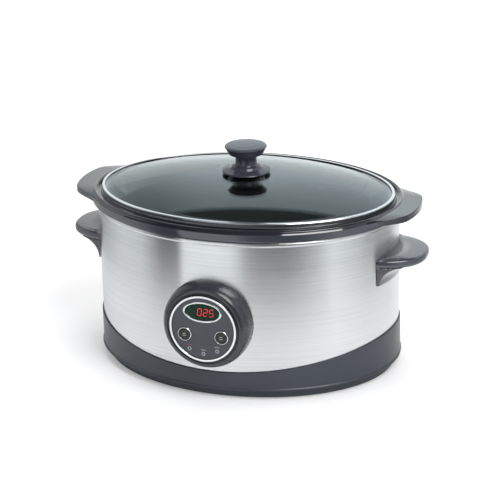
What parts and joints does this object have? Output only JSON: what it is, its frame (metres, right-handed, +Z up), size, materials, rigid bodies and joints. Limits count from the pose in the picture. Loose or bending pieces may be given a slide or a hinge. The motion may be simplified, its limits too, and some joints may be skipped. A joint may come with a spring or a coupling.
{
  "type": "oval slow cooker",
  "caption": "Oval slow cooker with a brushed steel housing, dark base, lift-out stoneware crock with end lugs, glass lid with a knob, side handles and a round push-button panel.",
  "frame": {"origin": "under the middle of the whole object's footprint, on the surface that it stands on", "axes": "+Z up, +X along the length towards the right handle, front with the control panel towards -Y"},
  "size_m": [0.398, 0.2774, 0.2382],
  "materials": {
    "base_plastic": "dark slate moulded plastic with a satin surface",
    "sheet_metal": "plain aluminised sheet",
    "foot_rubber": "black rubber",
    "fastener_steel": "zinc-plated steel",
    "brushed_wrap": "stainless steel, brushed round the body",
    "mica_band": "mica heating band",
    "component_plastic": "black component plastic",
    "circuit_board": "green circuit board",
    "gloss_black_plastic": "glossy dark plastic",
    "bright_trim": "bright plated trim",
    "display_filter": "dark tinted display filter",
    "light_pipe": "clear indicator light",
    "black_glaze": "black glazed stoneware",
    "lid_glass": "clear tempered glass",
    "lid_steel": "polished stainless steel edge",
    "silicone": "dark silicone seal"
  },
  "bodies": {
    "housing": {"base_skirt": "base_plastic", "handle_right": "base_plastic", "handle_left": "base_plastic", "control_face": "base_plastic", "base_plate": "sheet_metal", "heating_well": "sheet_metal", "rubber_foot_1": "foot_rubber", "rubber_foot_2": "foot_rubber", "rubber_foot_3": "foot_rubber", "rubber_foot_4": "foot_rubber", "cord_inlet": "foot_rubber", "base_screw_1": "fastener_steel", "base_screw_2": "fastener_steel", "base_screw_3": "fastener_steel", "base_screw_4": "fastener_steel", "handle_screw_1": "fastener_steel", "handle_screw_2": "fastener_steel", "handle_screw_3": "fastener_steel", "handle_screw_4": "fastener_steel", "board_screw_1": "fastener_steel", "board_screw_2": "fastener_steel", "board_screw_3": "fastener_steel", "band_clamp": "fastener_steel", "well_post_1": "fastener_steel", "well_post_2": "fastener_steel", "well_post_3": "fastener_steel", "well_post_4": "fastener_steel", "steel_shell": "brushed_wrap", "heating_band": "mica_band", "thermal_sensor": "component_plastic", "thermal_fuse": "component_plastic", "relay": "component_plastic", "transformer": "component_plastic", "display_module": "component_plastic", "switch_right": "component_plastic", "switch_left": "component_plastic", "power_board": "circuit_board", "control_board": "circuit_board", "control_boss": "gloss_black_plastic", "face_trim": "bright_trim", "window_trim": "bright_trim", "button_trim_right": "bright_trim", "button_trim_left": "bright_trim", "display_window": "display_filter", "indicator_light_1": "light_pipe", "indicator_light_2": "light_pipe", "indicator_light_3": "light_pipe"},
    "crock": {"crock": "black_glaze"},
    "lid": {"lid_glass": "lid_glass", "lid_band": "lid_steel", "knob": "base_plastic", "knob_seal": "silicone", "knob_under_plate": "gloss_black_plastic", "knob_screw": "fastener_steel"},
    "button_right": {"button_right": "gloss_black_plastic"},
    "button_left": {"button_left": "gloss_black_plastic"}
  },
  "joints": [
    {"name": "crock_lift", "type": "slide", "parent": "housing", "child": "crock", "axis": [0, 0, 1], "range_m": [0, 0.17]},
    {"name": "lid_lift", "type": "slide", "parent": "crock", "child": "lid", "axis": [0, 0, 1], "range_m": [0, 0.06]},
    {"name": "button_right_press", "type": "slide", "parent": "housing", "child": "button_right", "axis": [0, 1, 0], "range_m": [0, 0.0006], "stiffness_N_per_m": 600},
    {"name": "button_left_press", "type": "slide", "parent": "housing", "child": "button_left", "axis": [0, 1, 0], "range_m": [0, 0.0006], "stiffness_N_per_m": 600}
  ]
}
